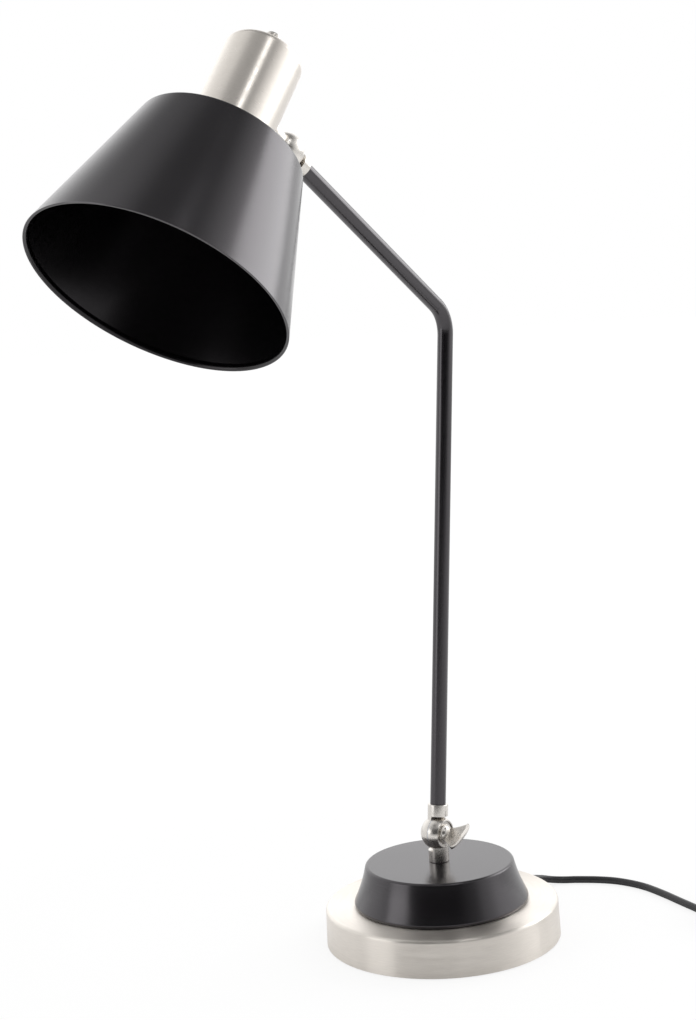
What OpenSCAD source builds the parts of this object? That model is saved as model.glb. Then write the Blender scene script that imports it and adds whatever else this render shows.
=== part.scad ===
// Desk lamp with a conical shade: a weighted round base carries a bent tube between two
// ball swivels with wing screws, and a cylindrical cup holds the lampholder over the shade.
// Frame: origin at the centre of the foot on the table, Z up, the arm reaches towards -Y.

/* [Base] */
// Diameter of the base cover at its foot
base_d = 150; // [140:1:170]
// How much narrower the base cover is at its top, on the diameter
base_taper = 1; // [0:0.5:3]
// Height of the base cover's top above the table
base_h = 24; // [22:1:30]
// Sheet thickness of the base cover
base_wall = 1.2; // [0.8:0.1:1.6]
// Radius of the base cover's top edge
base_edge_r = 2; // [1.8:0.2:4]
// Gap between the base cover's foot and the table
base_lift = 0.8; // [0.4:0.1:1.4]
// Thickness of the soft pad under the weight
pad_t = 2.5; // [2:0.1:3.5]
// Height of the cast weight, without its boss
weight_h = 14; // [12:0.5:16]
// Diameter of the boss that clamps the weight to the cover
boss_d = 44; // [38:1:60]
// Gap round the weight and the pad inside the cover
weight_gap = 0.6; // [0.3:0.1:1.5]

/* [Dome] */
// Diameter of the dome where it stands on the base cover
dome_d = 111.5; // [105:0.5:120]
// Diameter of the dome's flat top
dome_top_d = 94.5; // [88:0.5:100]
// Height of the dome
dome_h = 26; // [22:1:34]
// Sheet thickness of the dome
dome_wall = 1.2; // [0.8:0.1:1.8]
// Radius of the dome's edges
dome_edge_r = 2; // [1.9:0.1:3]
// How far the dome's side curves inwards
dome_sag = 0.8; // [0:0.1:1.5]

/* [Swivels] */
// Diameter of the ball half on the base or the head
ball_d = 20; // [19:0.5:22]
// Diameter of the ball half on the arm
arm_ball_d = 23.5; // [22:0.5:26]
// Distance of the arm's ball half from the swivel's centre
arm_ball_shift = 0.9; // [0:0.1:1]
// Distance of the flat for the wing screw from the ball's centre
ball_flat = 6; // [5.6:0.1:7.2]
// Diameter of the necks
neck_d = 13; // [12.6:0.1:14]
// Length of the lower swivel's necks from the ball's centre
neck_len = 18.4; // [17.5:0.1:22]
// Length of the upper swivel's necks from the ball's centre
upper_neck_len = 16.7; // [16:0.1:20]
// Depth of the socket in a neck
socket_depth = 5; // [3.5:0.5:5.5]
// Thickness of the friction washer
friction_t = 0.7; // [0.5:0.1:1]
// Running gap between two swivelling pieces
swivel_gap = 0.5; // [0.3:0.05:0.8]
// Diameter of the swivel screw
screw_d = 5; // [4:0.5:5]
// Radial clearance of the swivel screw in its hole
screw_fit = 0.06; // [0.03:0.01:0.1]
// Diameter of the wing screw's hub
hub_d = 12; // [11:0.5:12.5]
// Height of the wing screw's hub
hub_h = 3.2; // [2.6:0.1:4]
// Width of the wing across its tips
wing_w = 22; // [18:0.5:26]
// Reach of the wing beyond the ball's flat
wing_reach = 14; // [12:0.5:17]
// Thickness of the wing
wing_t = 1.6; // [1.2:0.1:2.2]
// Thickness of the wing's outer rim
wing_rim_t = 2.6; // [2.2:0.1:3.2]
// Turn of the lower wing from level
lower_wing_turn = 26; // [0:1:180]
// Turn of the upper wing from level
upper_wing_turn = 80; // [0:5:180]

/* [Arm] */
// Diameter of the arm tube
tube_d = 10; // [9:0.1:10.4]
// Wall of the arm tube
tube_wall = 1; // [0.8:0.1:1.3]
// Distance from the lower swivel to the corner of the bend
pole_len = 330.5; // [260:0.5:380]
// Distance from the corner of the bend to the upper swivel
reach_len = 173; // [130:0.5:220]
// Angle of the bend
bend_angle = 62.5; // [40:0.5:80]
// Radius of the bend at the tube's centreline
bend_r = 20; // [16:1:40]
// Lean of the pole, backwards from upright
pole_lean = 7; // [0:0.5:15]
// Diameter of the flex inside the tube
flex_d = 5.6; // [5:0.1:5.8]

/* [Head] */
// Angle of the shade's axis from straight down, towards the front
head_tilt = 37.25; // [20:0.25:50]
// Diameter of the cup
cup_d = 46; // [44:0.5:50]
// Length of the cup
cup_len = 68.5; // [62:0.5:80]
// Sheet thickness of the cup
cup_wall = 1.2; // [0.8:0.1:1.5]
// Radius of the cup's top edge
cup_edge_r = 4.5; // [2:0.25:6]
// Height of the swivel above the shade's top
neck_z = 33.5; // [33:0.5:37]
// Least thickness of the saddle washer between neck and cup
saddle_t = 1.4; // [1:0.1:2.5]
// Diameter of the shade's opening
shade_d = 150; // [140:1:180]
// Diameter of the shade's top
shade_top_d = 96; // [88:1:110]
// Height of the shade
shade_h = 94; // [85:1:120]
// Sheet thickness of the shade
shade_wall = 0.9; // [0.7:0.1:1.5]
// Radius of the shade's top edge
shade_edge_r = 2.2; // [1.6:0.1:4]
// Thickness of the hem at the shade's opening
hem_t = 1.6; // [1.5:0.1:2.4]
// Height of the hem
hem_h = 2.4; // [2:0.1:4]

/* [Lampholder] */
// Diameter of the holder's skirt, which passes through the shade
skirt_d = 39; // [38:0.5:40.5]
// Length of the skirt below the shade's top
skirt_len = 15; // [13:0.5:20]
// Bore of the threaded shell
shell_bore_d = 26.7; // [26.5:0.1:27]
// Wall of the threaded shell
shell_wall = 1; // [0.6:0.1:1.2]
// Length of the threaded shell
shell_len = 20; // [18:0.5:24]
// Thickness of the holder's flange
flange_t = 2.5; // [2:0.1:3.5]
// Height of the holder above the shade's top
holder_h = 24; // [22:0.5:24]
// Diameter of the shade ring's flange
ring_d = 55; // [48:1:60]
// Height of the shade ring
ring_h = 8; // [6:0.5:11]
// Width of the bracket
bracket_w = 16; // [15:0.5:18]
// Thickness of the bracket
bracket_t = 1.5; // [1.2:0.1:2]

/* [Switch] */
// Diameter of the switch knob
knob_d = 9.5; // [8:0.5:10]
// Height of the knob's top above the cup
knob_top = 13.5; // [10:0.5:20]
// Diameter of the switch body
switch_d = 22; // [18:0.5:24]
// Length of the switch body
switch_len = 13; // [10:0.5:14]
// Diameter of the knob's shaft
shaft_d = 5; // [4:0.1:5.5]
// Running clearance of the shaft, on the radius
shaft_fit = 0.05; // [0.02:0.01:0.1]

/* [Fasteners] */
// Diameter of the hollow threaded rods
rod_d = 10; // [9.5:0.1:10.2]
// Bore of the hollow threaded rods
rod_bore_d = 6; // [5:0.2:6.4]
// Width of the hexagon nuts across their flats
nut_af = 14; // [13:0.5:16]
// Thickness of the hexagon nuts
nut_t = 3.5; // [2.5:0.5:4]
// Diameter of the plain washer
washer_d = 22; // [18:1:26]
// Thickness of the plain washer
washer_t = 1.2; // [0.8:0.1:2]
// Clearance of pieces that only fit over each other, on the radius
fit_gap = 0.05; // [0.03:0.01:0.1]
// Clearance of a rod in a hole of a sheet, on the radius
hole_gap = 0.2; // [0.1:0.05:0.4]

/* [Cord] */
// Diameter of the cord
cord_d = 4.8; // [4.2:0.1:5.4]
// Height of the cord's exit above the table
exit_z = 8; // [7:0.5:10]
// Length of the strain relief outside the cover
relief_len = 22; // [20:1:30]
// Mean radius of the coil
coil_r = 27; // [25:0.5:32]
// Distance between neighbouring turns of the coil
coil_pitch = 5.4; // [5.3:0.1:6.2]
// Length of the plug's body
plug_len = 34; // [28:1:40]
// Width of the plug's body
plug_w = 26; // [24:1:30]
// Height of the plug's body
plug_h = 14; // [13:0.5:16]
// Diameter of a plug pin
pin_d = 4; // [3.8:0.1:4.8]
// Length of a plug pin outside the body
pin_len = 19; // [16:0.5:20]
// Distance between the plug pins
pin_gap = 18.6; // [17:0.1:19]

/* [Hidden] */
$fn = 96;

nickel = "#d6d1ca";
black = "#26262a";
rubber = "#1a1a1c";
cast = "#4b4b4e";
brass = "#c2a15a";
ceramic = "#e8e4da";

e = 0.01;                                    // overrun of a cut past a face
rim_r = (base_d - base_taper) / 2;
base_r = base_d / 2;
cover_floor = base_h - base_wall;            // underside of the cover's top
weight_r = rim_r - base_wall - weight_gap;
pocket_d = washer_d + 6;                     // pocket under the weight for the nut
pocket_top = pad_t + nut_t + washer_t + 3.3;
channel_w = cord_d + 4;
hinge_z = base_h + dome_h + neck_len;
ball_r = ball_d / 2;
arm_ball_r = arm_ball_d / 2;
half_split = friction_t / 2 + 0.05;          // each half's distance from the ball's centre
flat_r = sqrt(ball_r * ball_r - ball_flat * ball_flat);
arm_flat = arm_ball_shift + sqrt(arm_ball_r * arm_ball_r - flat_r * flat_r);
recess_r = flat_r - 0.7;
recess_depth = 0.8;
blind = 7;                                   // depth of the threaded hole
wire_r0 = screw_d / 2 + 1.7;                 // annular space for the wires round the screw
neck_foot = sqrt(ball_r * ball_r - neck_d * neck_d / 4) - 0.1;
wire_r1 = neck_foot - 0.1;
wire_depth = 3;
tube_r = tube_d / 2;
bend_t = bend_r * tan(bend_angle / 2);       // tangent length of the bend
bend_swell = 0.03;                           // extra wall each way in the bend
bend_lap = 0.4;                              // how far the straight stretches reach into it
lead_in = 1.2;                               // how far the lead reaches into a neck's bore
cup_r = cup_d / 2;
cup_ri = cup_r - cup_wall;
neck_y = cup_r + saddle_t + upper_neck_len;        // ball centre from the cup's axis
leg_y = sqrt(cup_ri * cup_ri - bracket_w * bracket_w / 4) - 0.05;
shell_r = shell_bore_d / 2 + shell_wall;
bracket_z = holder_h;
bush_top = 2.9;                              // switch bush above the cup
relief_y = base_r + relief_len;
cord_r = cord_d / 2;
strap_t = 0.8;                               // strap round the coil, which lies on it
floor_z = strap_t + 0.3 + cord_r;            // centre of the coil's lowest turns

// Coil: four layers, wound inwards and outwards by turns
coil_at = [160, 138];
coil_start = -112;
coil_turns = 9 + 112 / 360;
coil_layers = 4;
coil_steps = 224;
layer_rise = coil_pitch;
layer_turns = coil_turns / coil_layers;
coil_w = coil_pitch * layer_turns;
coil_out = coil_r + coil_w / 2;
coil_top = floor_z + (coil_layers - 1) * layer_rise;
plug_at = [coil_at[0] + coil_out, 188];
sleeve_len = 18;

// Route of the cord from the strain relief to the coil, chosen by hand
cord_route = [
    [0, 97, 8], [0, 98.5, 8], [0, 100, 8], [0.3, 104, 7.4], [2, 111, 5.6], [6, 117.5, 3.6], [12, 123.5, 2.6],
    [20, 129, 2.5], [34, 136, 2.5], [48, 139.5, 2.5], [66, 138.5, 2.5], [85, 132, 2.5],
    [102, 124.5, 2.5], [117, 118, 2.5], [130, 112.5, 2.5]
];
// Route of the cord from the coil to the plug, relative to the plug's sleeve
tail_route = [
    [0, -38, 11], [0, -30, 8.6], [0, -22, 5.4], [0, -14, 2.4], [0, -7, 0.4], [0, -3, 0],
    [0, -1.5, 0], [0, 0, 0]
];

// ---------- helpers ----------

function arc(cx, cy, r, a0, a1, n = 8) =
    [for (i = [0 : n]) let (a = a0 + (a1 - a0) * i / n) [cx + r * cos(a), cy + r * sin(a)]];

function unit(v) = v / norm(v);

// A point of the Catmull-Rom curve between b and c
function between(a, b, c, d, t) =
    0.5 * (2 * b + (c - a) * t + (2 * a - 5 * b + 4 * c - d) * t * t
           + (3 * b - a - 3 * c + d) * t * t * t);

function smooth_path(p, steps) = let (n = len(p) - 1) concat(
    [for (i = [0 : n - 1], s = [0 : steps - 1])
        between(i > 0 ? p[i - 1] : 2 * p[0] - p[1], p[i], p[i + 1],
                i < n - 1 ? p[i + 2] : 2 * p[n] - p[n - 1], s / steps)],
    [p[n]]);

function tangent(p, i) = unit(p[min(i + 1, len(p) - 1)] - p[max(i - 1, 0)]);

// One closed tube along a path that never runs upright
module tube_along(path, r, sides) {
    n = len(path);
    rings = [for (i = [0 : n - 1])
        let (t = tangent(path, i), side = unit(cross([0, 0, 1], t)), up = cross(t, side))
        for (k = [0 : sides - 1])
            path[i] + r * (cos(360 * (k + 0.5) / sides) * side + sin(360 * (k + 0.5) / sides) * up)];
    start_cap = [for (k = [1 : sides - 2]) [0, k + 1, k]];
    last = (n - 1) * sides;
    end_cap = [for (k = [1 : sides - 2]) [last, last + k, last + k + 1]];
    walls = [for (i = [0 : n - 2], k = [0 : sides - 1])
        let (a = i * sides + k, b = i * sides + (k + 1) % sides)
        each [[a, b, b + sides], [a, b + sides, a + sides]]];
    polyhedron(concat([for (v = rings) v]), concat(start_cap, end_cap, walls));
}

// A ring or disc with the given radii between two heights
module ring(ro, ri, z0, z1) {
    translate([0, 0, z0])
        difference() {
            cylinder(r = ro, h = z1 - z0);
            if (ri > 0)
                translate([0, 0, -e]) cylinder(r = ri, h = z1 - z0 + 2 * e);
        }
}

module hex_nut(z0, z1) {
    translate([0, 0, z0])
        difference() {
            intersection() {
                cylinder(r = nut_af / sqrt(3), h = z1 - z0, $fn = 6);
                cylinder(r1 = nut_af / 2 + 0.4, r2 = nut_af / 2 + 0.4 + (z1 - z0) * 1.6,
                         h = z1 - z0);
            }
            translate([0, 0, -e]) cylinder(r = rod_d / 2 + fit_gap, h = z1 - z0 + 2 * e);
        }
}

module hollow_rod(z0, z1) {
    ring(rod_d / 2, rod_bore_d / 2, z0, z1);
}

// Frames of the moving groups
module at_hinge() {
    translate([0, 0, hinge_z]) children();
}

module at_pole() {
    at_hinge() rotate([-pole_lean, 0, 0]) children();
}

module at_reach() {
    at_pole()
        translate([0, -reach_len * sin(bend_angle), pole_len + reach_len * cos(bend_angle)])
            rotate([bend_angle, 0, 0]) children();
}

module at_upper_ball() {
    at_reach() rotate([pole_lean - bend_angle, 0, 0]) children();
}

// Origin on the cup's axis at the shade's top, Z up the cup, the swivel on the +Y side
module at_head() {
    at_upper_ball() rotate([-head_tilt, 0, 0]) translate([0, -neck_y, -neck_z]) children();
}

// Lies on the head's +Y side, Z from the cup's axis outwards
module at_side() {
    translate([0, 0, neck_z]) rotate([-90, 0, 0]) children();
}

// ---------- swivel pieces ----------

// Half ball with its neck along +Z: the clevis half lies on +X and takes the screw's head,
// the tongue half lies on -X and has the blind threaded hole
module swivel_half(clevis, on_arm, length) {
    side = clevis ? 1 : -1;
    r = on_arm ? arm_ball_r : ball_r;
    shift = on_arm ? arm_ball_shift : 0;
    facing_r = (on_arm ? ball_r : arm_ball_r) + swivel_gap;
    facing_shift = on_arm ? 0 : arm_ball_shift;
    flat = on_arm ? arm_flat : ball_flat;
    reach = clevis ? flat : r + shift;
    difference() {
        union() {
            rotate([0, side * 90, 0])
                rotate_extrude()
                    difference() {
                        intersection() {
                            translate([0, shift]) circle(r = r);
                            translate([0, half_split]) square([r, reach - half_split]);
                        }
                        square([screw_d / 2 + screw_fit, clevis ? r + 2 : blind + 0.6]);
                        translate([wire_r0, 0]) square([wire_r1 - wire_r0, half_split + wire_depth]);
                        if (clevis)
                            translate([0, flat - recess_depth]) square([recess_r, recess_depth + 1]);
                    }
            difference() {
                rotate_extrude()
                    polygon([
                        [rod_bore_d / 2, neck_foot], [neck_d / 2, neck_foot],
                        [neck_d / 2, length - 0.5], [neck_d / 2 - 0.5, length],
                        [rod_d / 2 + fit_gap, length], [rod_d / 2 + fit_gap, length - socket_depth],
                        [rod_bore_d / 2, length - socket_depth]]);
                if (on_arm)
                    facing_box(side, facing_r);
                else
                    intersection() {
                        translate([-side * facing_shift, 0, 0]) sphere(r = facing_r);
                        facing_box(side, facing_r);
                    }
            }
        }
        translate([0, 0, wire_r0]) cylinder(r = rod_bore_d / 2, h = r);
    }
}

// The space of the facing half ball, up to the given radius
module facing_box(side, r) {
    translate([side > 0 ? half_split - 2 * r : -half_split, -r, 0])
        cube([2 * r, 2 * r, r]);
}

module friction_ring() {
    rotate([0, 90, 0])
        ring(ball_r - 0.15, wire_r1 + 0.2, half_split - friction_t, half_split);
}

// Outline of the wing: X is outwards, Y across
module wing_outline() {
    root = hub_d / 2 - 1.4;
    corner = wing_reach - 2.6;
    flank = [for (i = [0 : 6]) let (t = i / 6)
        [corner * t, root + (wing_w / 2 - root) * (0.35 * t + 0.65 * t * t)]];
    tip = arc(corner - 0.6, wing_w / 2 - 1.2, 1.2, 80, 10, 4);
    bow = [for (i = [0 : 8]) let (t = i / 8)
        [corner + 0.6 + (wing_reach - corner - 0.6) * cos(90 * t), (wing_w / 2 - 1.4) * sin(90 * t)]];
    upper = concat([for (i = [0 : 5]) flank[i]], tip, [for (i = [8 : -1 : 0]) bow[i]]);
    polygon(concat(upper, [for (i = [len(upper) - 2 : -1 : 0]) [upper[i][0], -upper[i][1]]]));
}

module wing_plate(t, inset) {
    translate([0, 0, -t / 2])
        linear_extrude(t)
            difference() {
                wing_outline();
                if (inset > 0)
                    translate([-inset, 0]) scale([1, 0.93]) wing_outline();
            }
}

// Screw along +X with the wing in the X-Y plane, for a flat at the given distance
module wing_screw(flat) {
    hub_floor = flat - recess_depth + 0.1;
    rotate([0, 90, 0]) {
        translate([0, 0, -blind]) cylinder(r = screw_d / 2, h = blind + hub_floor + 0.5);
        translate([0, 0, hub_floor])
            rotate_extrude()
                polygon(concat([[0, 0], [hub_d / 2, 0], [hub_d / 2, 0.9]],
                               [for (i = [1 : 8]) let (a = 90 * i / 8)
                                   [hub_d / 2 * cos(a), 0.9 + (hub_h - 0.9) * sin(a)]]));
    }
    translate([flat, 0, 0]) {
        wing_plate(wing_t, 0);
        intersection() {
            wing_plate(wing_rim_t, 1.5);
            translate([wing_reach * 0.55, -wing_w, -wing_rim_t])
                cube([wing_reach, 2 * wing_w, 2 * wing_rim_t]);
        }
    }
}

// ---------- base ----------

module base_cover() {
    color(nickel)
        difference() {
            rotate_extrude()
                polygon(concat(
                    [[rod_d / 2 + hole_gap, base_h]],
                    [[rod_d / 2 + hole_gap, cover_floor]],
                    arc(rim_r - base_edge_r, base_h - base_edge_r, base_edge_r - base_wall, 90, 0),
                    [[base_r - base_wall, base_lift], [base_r, base_lift]],
                    arc(rim_r - base_edge_r, base_h - base_edge_r, base_edge_r, 0, 90)));
            translate([0, 0, exit_z]) rotate([-90, 0, 0])
                cylinder(r = cord_d / 2 + 1.9, h = base_r + 5);
        }
}

module base_weight() {
    color(cast)
        difference() {
            union() {
                translate([0, 0, pad_t]) cylinder(r = weight_r, h = weight_h);
                translate([0, 0, pad_t]) cylinder(r = boss_d / 2, h = cover_floor - pad_t);
            }
            cylinder(r = rod_d / 2 + hole_gap, h = base_h);
            cylinder(r = pocket_d / 2, h = pocket_top);
            translate([-channel_w / 2, 0, -e])
                cube([channel_w, base_r, exit_z + channel_w / 2 + e]);
            translate([-channel_w, weight_r - 5, -e]) cube([2 * channel_w, 10, base_h]);
        }
}

module base_pad() {
    color(rubber)
        cylinder(r = weight_r, h = pad_t);
}

module dome_cover() {
    bottom_r = dome_d / 2;
    top_r = dome_top_d / 2;
    lean = atan((bottom_r - top_r) / dome_h);
    er = dome_edge_r;
    foot_r = bottom_r - er;
    head_r = top_r - er * tan(45 - lean / 2) + 0.0;
    inner = er - dome_wall;
    // the side bows inwards by dome_sag between its rounded edges
    function side(r0, z0, r1, z1, k) = [for (i = [1 : 5]) let (t = i / 6)
        [r0 + (r1 - r0) * t - k * sin(180 * t), z0 + (z1 - z0) * t]];
    top_c = [head_r, base_h + dome_h - er];
    foot_c = [foot_r, base_h + er];
    a = lean;
    color(black)
        rotate_extrude()
            polygon(concat(
                [[rod_d / 2 + hole_gap, base_h + dome_h]],
                [[rod_d / 2 + hole_gap, base_h + dome_h - dome_wall]],
                arc(top_c[0], top_c[1], inner, 90, a),
                side(top_c[0] + inner * cos(a), top_c[1] + inner * sin(a),
                     foot_c[0] + inner * cos(a), foot_c[1] + inner * sin(a), dome_sag),
                arc(foot_c[0], foot_c[1], inner, a, -90, 6),
                [[foot_r - 3, base_h + dome_wall], [foot_r - 3, base_h]],
                arc(foot_c[0], foot_c[1], er, -90, a, 6),
                side(foot_c[0] + er * cos(a), foot_c[1] + er * sin(a),
                     top_c[0] + er * cos(a), top_c[1] + er * sin(a), dome_sag),
                arc(top_c[0], top_c[1], er, a, 90)));
}

module centre_rod() {
    color(nickel)
        hollow_rod(pocket_top - washer_t - nut_t - 0.8, base_h + dome_h + socket_depth - 0.1);
}

module rod_washer() {
    color(nickel)
        ring(washer_d / 2, rod_d / 2 + hole_gap, pocket_top - washer_t, pocket_top);
}

module rod_nut() {
    color(nickel)
        hex_nut(pocket_top - washer_t - nut_t, pocket_top - washer_t);
}

module lower_clevis() {
    color(nickel)
        at_hinge() mirror([0, 0, 1]) swivel_half(true, false, neck_len);
}

module lower_friction_washer() {
    color(rubber)
        at_hinge() friction_ring();
}

// Ribbed sleeve snapped into the cover's rear wall, with the cord through it
module cord_relief() {
    root_r = cord_d / 2 + 1.8;
    tip_r = cord_d / 2 + 0.8;
    wall_y = rim_r - 0.6;
    ribs = 6;
    step = (relief_len - 3) / ribs;
    color(rubber)
        translate([0, 0, exit_z]) rotate([-90, 0, 0])
            rotate_extrude()
                polygon(concat(
                    [[cord_r + 0.1, wall_y - base_wall - 2.4], [root_r + 1, wall_y - base_wall - 2.4],
                     [root_r + 1, wall_y - base_wall - 0.6], [root_r, wall_y - base_wall - 0.6],
                     [root_r, base_r + 0.1], [root_r + 1.6, base_r + 0.1], [root_r + 1.6, base_r + 1.6],
                     [root_r, base_r + 2.2]],
                    [for (i = [0 : ribs - 1])
                        let (y = base_r + 3 + i * step, r = root_r + (tip_r - root_r) * (i + 0.5) / ribs)
                        each [[r, y], [r, y + step * 0.6], [r - 0.4, y + step * 0.7],
                              [r - 0.4, y + step * 0.95]]],
                    [[tip_r, relief_y], [cord_r + 0.1, relief_y]]));
}

module base_lead() {
    color(rubber)
        translate([0, washer_d / 2 + 0.5, exit_z]) rotate([-90, 0, 0])
            cylinder(r = cord_r, h = relief_y - washer_d / 2 - 0.5);
}

// ---------- cord ----------

// Height of the coil's centreline after a number of turns: it climbs a layer in each
// half turn where the spiral reverses
function climb(t) = let (u = min(max(t, 0), 1)) u * u * (3 - 2 * u);

function coil_point(t) = let (
        layer = min(floor(t / layer_turns), coil_layers - 1),
        u = t / layer_turns - layer,
        r = coil_r + coil_w * (layer % 2 == 0 ? 0.5 - u : u - 0.5),
        z = floor_z + layer_rise * (climb(2 * (t - layer_turns) + 0.5)
            + climb(2 * (t - 2 * layer_turns) + 0.5) + climb(2 * (t - 3 * layer_turns) + 0.5)),
        a = coil_start + 360 * t)
    [coil_at[0] + r * cos(a), coil_at[1] + r * sin(a), z];

coil_turn_points = [for (i = [0 : coil_steps]) coil_point(coil_turns * i / coil_steps)];
coil_in = [cos(coil_start + 90), sin(coil_start + 90), 0];
coil_path = concat([coil_turn_points[0] - cord_d * coil_in], coil_turn_points,
                   [coil_turn_points[coil_steps] + [0, cord_d, 0]]);

// Least distance between points of the coil that lie more than half a turn apart
coil_gap = min([for (i = [0 : coil_steps - 12], j = [i + 12 : coil_steps])
    norm(coil_turn_points[i] - coil_turn_points[j])]) - cord_d;
echo(least_gap_in_the_coil = coil_gap);

module cord() {
    last = [for (d = [4, 2, 0]) coil_path[0] - d * coil_in];
    path = smooth_path(concat(cord_route, last), 3);
    color(rubber)
        tube_along(path, cord_r, 10);
}

module cord_coil() {
    color(rubber)
        tube_along(coil_path, cord_r, 6);
}

module cord_tail() {
    start = [for (d = [0, 1, 2]) coil_path[len(coil_path) - 1] + [0, d, 0]];
    route = [for (p = tail_route) [plug_at[0], plug_at[1], plug_h / 2] + p];
    color(rubber)
        tube_along(smooth_path(concat(start, route), 2), cord_r, 10);
}

// Strap round the coil's bundle, its end lapped over on top
module cord_tie() {
    strap_w = 9;
    gap = 0.3;
    inner = coil_r - coil_w / 2 - cord_r - gap - 0.6;
    outer = coil_r + coil_w / 2 + cord_r + gap;
    top = coil_top + cord_r + gap;
    color(rubber)
        translate([coil_at[0], coil_at[1], 0]) rotate([0, 0, 60]) rotate([90, 0, 0])
            translate([0, 0, -strap_w / 2])
                linear_extrude(strap_w)
                    union() {
                        difference() {
                            translate([inner - strap_t, 0])
                                square([outer - inner + 2 * strap_t, top + strap_t]);
                            translate([inner, strap_t]) square([outer - inner, top - strap_t]);
                        }
                        translate([inner + 4, top + strap_t - e]) square([outer - inner - 4, strap_t]);
                    }
}

module plug_body() {
    color(rubber)
        translate([plug_at[0], plug_at[1], plug_h / 2]) rotate([-90, 0, 0])
            difference() {
                union() {
                    cylinder(r1 = cord_r + 0.9, r2 = cord_r + 2.2, h = sleeve_len + 1);
                    hull() {
                        translate([0, 0, sleeve_len]) linear_extrude(1) plug_section(12, 10);
                        translate([0, 0, sleeve_len + plug_len * 0.55])
                            linear_extrude(1) plug_section(plug_w, plug_h);
                        translate([0, 0, sleeve_len + plug_len - 1])
                            linear_extrude(1) plug_section(plug_w, plug_h);
                    }
                }
                for (s = [-1, 1])
                    translate([s * pin_gap / 2, 0, sleeve_len + plug_len - 8])
                        cylinder(r = pin_d / 2 + fit_gap, h = 10);
            }
}

module plug_section(w, h) {
    r = h / 2 - 0.5;
    hull()
        for (s = [-1, 1], t = [-1, 1])
            translate([s * (w / 2 - r), t * (h / 2 - r)]) circle(r = r, $fn = 24);
}

module plug_pins() {
    color(nickel)
        translate([plug_at[0], plug_at[1], plug_h / 2]) rotate([-90, 0, 0])
            for (s = [-1, 1])
                translate([s * pin_gap / 2, 0, sleeve_len + plug_len - 7.9])
                    union() {
                        cylinder(r = pin_d / 2, h = pin_len + 6.9);
                        translate([0, 0, pin_len + 6.9])
                            cylinder(r1 = pin_d / 2, r2 = pin_d / 2 - 0.8, h = 1);
                    }
}

// ---------- arm ----------

module lower_tongue() {
    color(nickel)
        at_pole() swivel_half(false, true, neck_len);
}

// Wall of the tube, thicker by a little where it was bent
module tube_section(swell) {
    difference() {
        circle(r = tube_r + swell);
        circle(r = tube_r - tube_wall - swell);
    }
}

module arm_tube() {
    lower = neck_len - socket_depth + 0.1;
    upper = upper_neck_len - socket_depth + 0.1;
    color(black)
        at_pole() {
            translate([0, 0, lower])
                linear_extrude(pole_len - bend_t - lower + bend_lap) tube_section(0);
            translate([0, -bend_r, pole_len - bend_t]) {
                rotate([90, 0, 90])
                    rotate_extrude(angle = bend_angle) translate([bend_r, 0])
                        tube_section(bend_swell);
                rotate([bend_angle, 0, 0]) translate([0, bend_r, -bend_lap])
                    linear_extrude(reach_len - bend_t - upper + bend_lap) tube_section(0);
            }
        }
}

// The lead inside the tube, drawn flat with X up the pole, then stood up
module arm_flex() {
    straight = pole_len - bend_t;
    reach = reach_len - bend_t - upper_neck_len + socket_depth + lead_in;
    turn = [for (i = [0 : 16]) let (a = bend_angle * i / 16)
        [straight + bend_r * sin(a), bend_r * (1 - cos(a)), 0]];
    last = turn[16] + reach * [cos(bend_angle), sin(bend_angle), 0];
    color(rubber)
        at_pole() rotate([0, -90, 180])
            tube_along(concat([[neck_len - socket_depth - lead_in, 0, 0]], turn, [last]),
                       flex_d / 2, 10);
}

module upper_clevis() {
    color(nickel)
        at_reach() mirror([1, 0, 0]) mirror([0, 0, 1]) swivel_half(true, true, upper_neck_len);
}

module upper_friction_washer() {
    color(rubber)
        at_reach() mirror([1, 0, 0]) friction_ring();
}

module lower_wing_screw() {
    color(nickel)
        at_hinge() rotate([lower_wing_turn, 0, 0]) wing_screw(ball_flat);
}

module upper_wing_screw() {
    color(nickel)
        at_upper_ball() mirror([1, 0, 0]) rotate([upper_wing_turn, 0, 0]) wing_screw(arm_flat);
}

// ---------- head ----------

module upper_tongue() {
    color(nickel)
        at_upper_ball() rotate([90 - head_tilt, 0, 0]) mirror([1, 0, 0])
            swivel_half(false, false, upper_neck_len);
}

module saddle_washer() {
    color(nickel)
        at_head() at_side()
            difference() {
                ring(neck_d / 2 + 1, rod_d / 2 + hole_gap, cup_r - 2, cup_r + saddle_t);
                translate([0, neck_z + 5, 0]) rotate([90, 0, 0])
                    cylinder(r = cup_r, h = cup_len);
            }
}

module side_nipple() {
    color(nickel)
        at_head() at_side()
            hollow_rod(leg_y - bracket_t - nut_t - 0.6, cup_r + saddle_t + socket_depth - 0.1);
}

module side_nut() {
    color(nickel)
        at_head() at_side()
            hex_nut(leg_y - bracket_t - nut_t, leg_y - bracket_t);
}

module cup() {
    r = cup_edge_r;
    color(nickel)
        at_head()
            difference() {
                rotate_extrude()
                    polygon(concat(
                        [[rod_d / 2 + hole_gap, cup_len], [rod_d / 2 + hole_gap, cup_len - cup_wall]],
                        arc(cup_r - r, cup_len - r, r - cup_wall, 90, 0),
                        [[cup_ri, 0], [cup_r, 0]],
                        arc(cup_r - r, cup_len - r, r, 0, 90)));
                at_side() cylinder(r = rod_d / 2 + hole_gap, h = cup_d);
            }
}

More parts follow.
